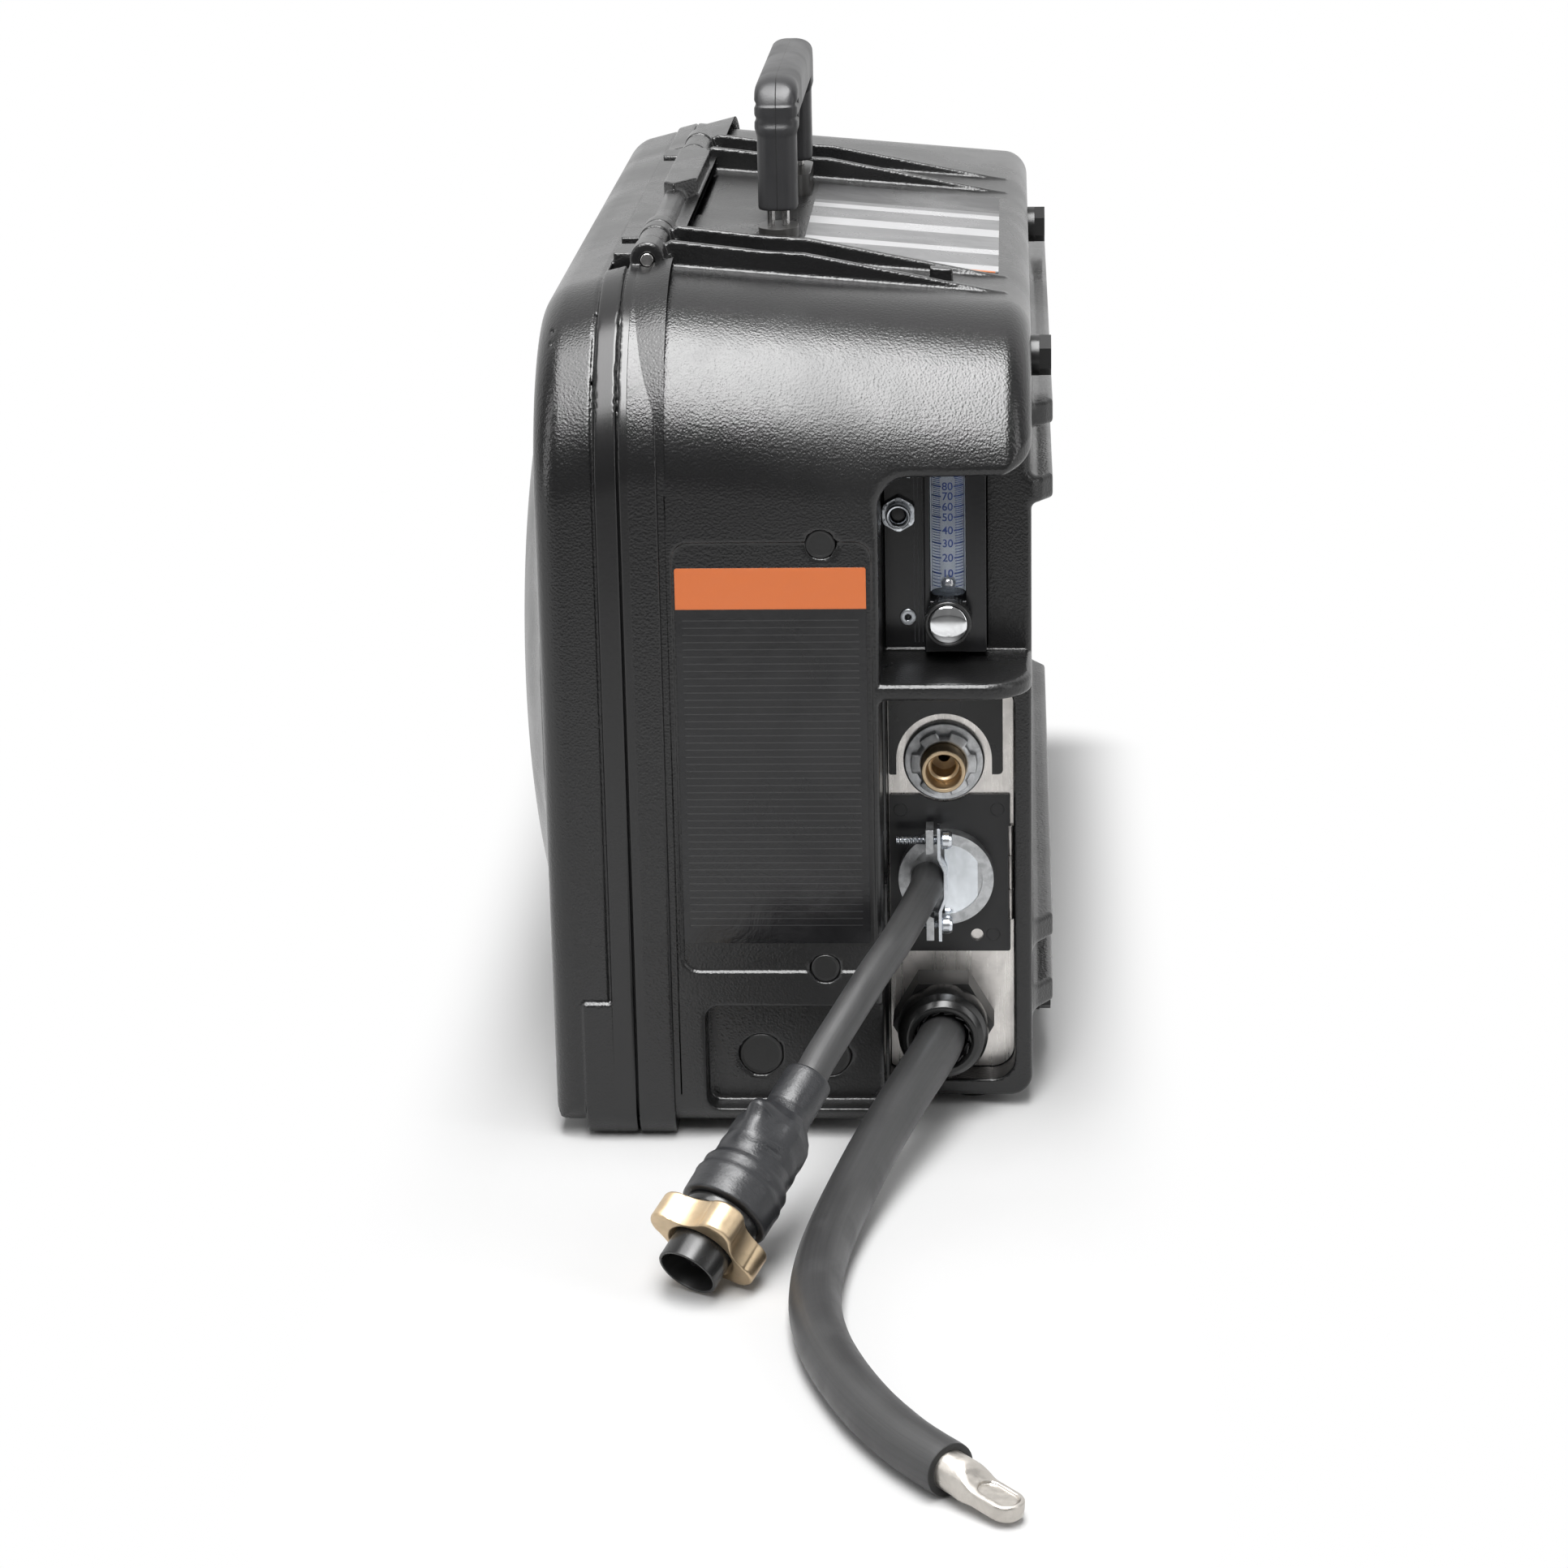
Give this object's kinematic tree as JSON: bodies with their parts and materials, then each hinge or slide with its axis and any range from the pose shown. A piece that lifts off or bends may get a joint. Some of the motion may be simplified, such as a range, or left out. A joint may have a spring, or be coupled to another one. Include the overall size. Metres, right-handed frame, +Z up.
{
  "type": "welding wire feeder",
  "caption": "Portable suitcase wire feeder: black moulded case with hinged side door, roof grip, gas flowmeter pocket, cable clamp and gland, lugged power cable and control plug.",
  "frame": {"origin": "centre of the case's footprint box, on the floor, free cables left out", "axes": "+Z up; +Y from the connection end to the front; +X from the door side to the rail side"},
  "size_m": [0.235, 0.9111, 0.43],
  "materials": {
    "case_black": "fine leather grain, satin",
    "seal_rubber": "dull",
    "pin_steel": "bright",
    "knob_black": "satin",
    "foot_rubber": "dull",
    "bolt_black": "black oxide",
    "plug_black": "satin",
    "grip_rubber": "satin, fine grain",
    "socket_steel": "black oxide",
    "label_film": "satin film with one plain orange band and pale ruled lines",
    "roof_film": "satin film with plain pale bands",
    "panel_gloss": "gloss",
    "tube_clear": "clear",
    "knob_gloss": "gloss",
    "cap_chrome": "mirror bright",
    "zinc": "zinc plated",
    "panel_steel": "vertical brush",
    "film_black": "satin film",
    "brass": "machined",
    "plate_black": "satin black",
    "gland_black": "satin",
    "gland_gloss": "gloss",
    "cable_rubber": "satin jacket",
    "lug_tin": "tinned copper",
    "boot_rubber": "shrunk sleeve, satin",
    "shell_black": "satin black",
    "insert_black": "matte",
    "zinc_sheet": "zinc plated sheet",
    "motor_black": "satin",
    "cast_alloy": "cast",
    "hose_black": "satin",
    "board_green": "satin"
  },
  "bodies": {
    "case": {"case_rear": "case_black", "case_roof": "case_black", "case_base": "case_black", "case_front": "case_black", "hinge_pins": "pin_steel", "feet": "foot_rubber", "side_bolts": "bolt_black", "hole_plugs": "plug_black", "handle_grip": "grip_rubber", "handle_rod": "pin_steel", "handle_sockets": "socket_steel", "rear_label": "label_film", "top_label": "roof_film", "flow_panel": "panel_gloss", "flowmeter_body": "panel_gloss", "flowmeter_tube": "tube_clear", "purge_nut": "zinc", "panel_eyelets": "zinc", "steel_panel": "panel_steel", "panel_decal": "film_black", "inlet_ring": "zinc", "inlet_locknut": "zinc", "gas_inlet": "brass", "cover_plate": "plate_black", "clamp_body": "zinc", "clamp_strap": "zinc", "clamp_screws": "zinc", "gland_body": "gland_black", "gland_cap": "gland_gloss", "power_cable": "cable_rubber", "power_lug": "lug_tin", "control_cable": "cable_rubber", "plug_boot": "boot_rubber", "plug_shell": "shell_black", "plug_insert": "insert_black", "chassis_plate": "zinc_sheet", "drive_motor": "motor_black", "gearbox": "cast_alloy", "gas_valve": "brass", "gas_hose": "hose_black", "control_board": "board_green", "front_panel": "panel_gloss", "gun_socket": "brass"},
    "door": {"door": "case_black", "door_seal": "seal_rubber"},
    "latch": {"latch_knob": "knob_black"},
    "float": {"flowmeter_ball": "pin_steel"},
    "flow_valve": {"flow_knob": "knob_gloss", "flow_knob_cap": "cap_chrome"},
    "purge": {"purge_button": "knob_gloss"},
    "plug_nut": {"coupling_nut": "brass"},
    "spindle": {"spool_spindle": "knob_black"},
    "spindle_cap": {"spindle_knob": "knob_black"},
    "feed_roll": {"drive_roll": "pin_steel"},
    "arm": {"pressure_arm": "cast_alloy"},
    "idler": {"idle_roll": "pin_steel"},
    "tension": {"pressure_knob": "knob_black"},
    "speed_dial": {"speed_knob": "knob_black"},
    "volt_dial": {"volt_knob": "knob_black"},
    "switch": {"power_switch": "pin_steel"}
  },
  "joints": [
    {"name": "door_hinge", "type": "hinge", "parent": "case", "child": "door", "pos_m": [-0.0525, -0.043, 0.3675], "axis": [0, 1, 0], "range_deg": [0, 95]},
    {"name": "latch_turn", "type": "hinge", "parent": "door", "child": "latch", "pos_m": [-0.0805, 0.099, 0.044], "axis": [-1, 0, 0], "range_deg": [0, 90]},
    {"name": "flow_adjust", "type": "hinge", "parent": "case", "child": "flow_valve", "pos_m": [0.0735, -0.25, 0.222], "axis": [0, -1, 0], "range_deg": [0, 1080]},
    {"name": "float_rise", "type": "slide", "parent": "case", "child": "float", "axis": [0, 0, 1], "range_m": [0, 0.06]},
    {"name": "purge_press", "type": "slide", "parent": "case", "child": "purge", "axis": [0, 1, 0], "range_m": [0, 0.003], "stiffness_N_per_m": 300},
    {"name": "coupling_turn", "type": "hinge", "parent": "case", "child": "plug_nut", "pos_m": [-0.0196, -0.42956, 0.02079], "axis": [-0.4491, -0.7301, -0.515], "continuous": true},
    {"name": "spindle_spin", "type": "hinge", "parent": "case", "child": "spindle", "pos_m": [-0.0505, -0.092, 0.178], "axis": [1, 0, 0], "continuous": true},
    {"name": "spindle_cap_turn", "type": "hinge", "parent": "case", "child": "spindle_cap", "pos_m": [-0.1005, -0.092, 0.178], "axis": [1, 0, 0], "continuous": true},
    {"name": "feed_roll_spin", "type": "hinge", "parent": "case", "child": "feed_roll", "pos_m": [-0.0265, 0.143, 0.1405], "axis": [1, 0, 0], "continuous": true},
    {"name": "arm_swing", "type": "hinge", "parent": "case", "child": "arm", "pos_m": [-0.0175, 0.186, 0.178], "axis": [-1, 0, 0], "range_deg": [0, 60]},
    {"name": "idler_spin", "type": "hinge", "parent": "arm", "child": "idler", "pos_m": [-0.0265, 0.143, 0.1765], "axis": [1, 0, 0], "continuous": true},
    {"name": "tension_turn", "type": "hinge", "parent": "arm", "child": "tension", "pos_m": [-0.0245, 0.107, 0.203], "axis": [0, 0, 1], "continuous": true},
    {"name": "speed_turn", "type": "hinge", "parent": "case", "child": "speed_dial", "pos_m": [0.0295, 0.263, 0.18], "axis": [0, 1, 0], "range_deg": [-150, 150]},
    {"name": "volt_turn", "type": "hinge", "parent": "case", "child": "volt_dial", "pos_m": [0.0675, 0.263, 0.18], "axis": [0, 1, 0], "range_deg": [-150, 150]},
    {"name": "power_toggle", "type": "hinge", "parent": "case", "child": "switch", "pos_m": [0.0485, 0.254, 0.147], "axis": [1, 0, 0], "range_deg": [0, 24]}
  ]
}
